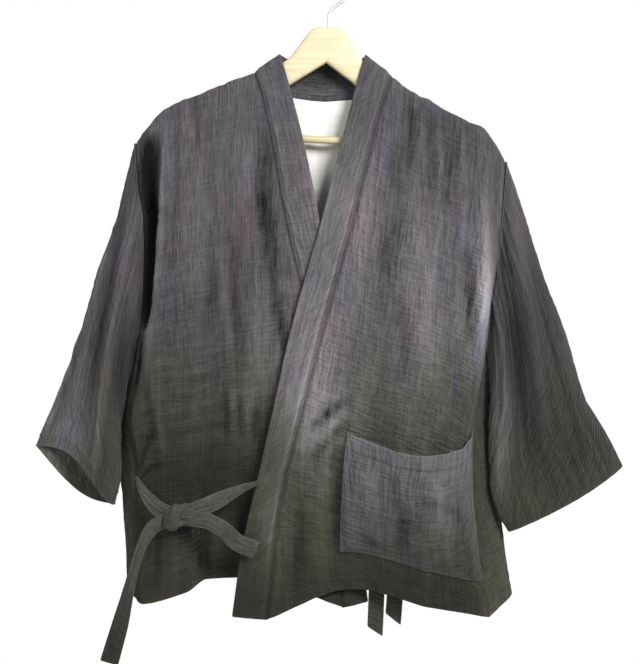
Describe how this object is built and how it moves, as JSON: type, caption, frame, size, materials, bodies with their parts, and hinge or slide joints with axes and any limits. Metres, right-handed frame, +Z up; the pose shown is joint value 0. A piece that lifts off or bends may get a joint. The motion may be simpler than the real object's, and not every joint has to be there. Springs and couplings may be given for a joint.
{
  "type": "short kimono jacket on a wooden hanger",
  "caption": "Short wrap jacket in kimono style with wide sleeves, a neckband, cloth ties and a patch pocket, hung on a wooden hanger with a trouser bar and wire hook.",
  "frame": {"origin": "top of the inside of the hanger's hook, where it rests on a rail", "axes": "+Z up, -Y the way the jacket's front faces, +X towards the wearer's left side"},
  "size_m": [0.8213, 0.1253, 0.9507],
  "materials": {
    "outer_cloth": "washed double gauze, matt and finely crinkled",
    "lining_cloth": "white gauze, matt and finely crinkled",
    "hanger_wood": "pale wood under a satin clear coat",
    "hook_steel": "polished wire"
  },
  "bodies": {
    "root": {"front_left_upper": "outer_cloth", "front_left_lower": "outer_cloth", "front_right_upper": "outer_cloth", "front_right_lower": "outer_cloth", "back_upper_right": "outer_cloth", "back_upper_left": "outer_cloth", "back_lower_right": "outer_cloth", "back_lower_left": "outer_cloth", "sleeve_left": "outer_cloth", "sleeve_right": "outer_cloth", "neckband": "outer_cloth", "pocket": "outer_cloth", "outer_knot": "outer_cloth", "outer_tie_arm_front": "outer_cloth", "outer_tie_arm_side": "outer_cloth", "outer_tie_end_down": "outer_cloth", "outer_tie_end_across": "outer_cloth", "inner_knot": "outer_cloth", "inner_tie_arm_front": "outer_cloth", "inner_tie_arm_side": "outer_cloth", "inner_tie_end_band": "outer_cloth", "inner_tie_end_side": "outer_cloth", "back_lining": "lining_cloth", "hanger_body": "hanger_wood", "hanger_bar": "hanger_wood", "hanger_hook": "hook_steel"}
  },
  "joints": []
}
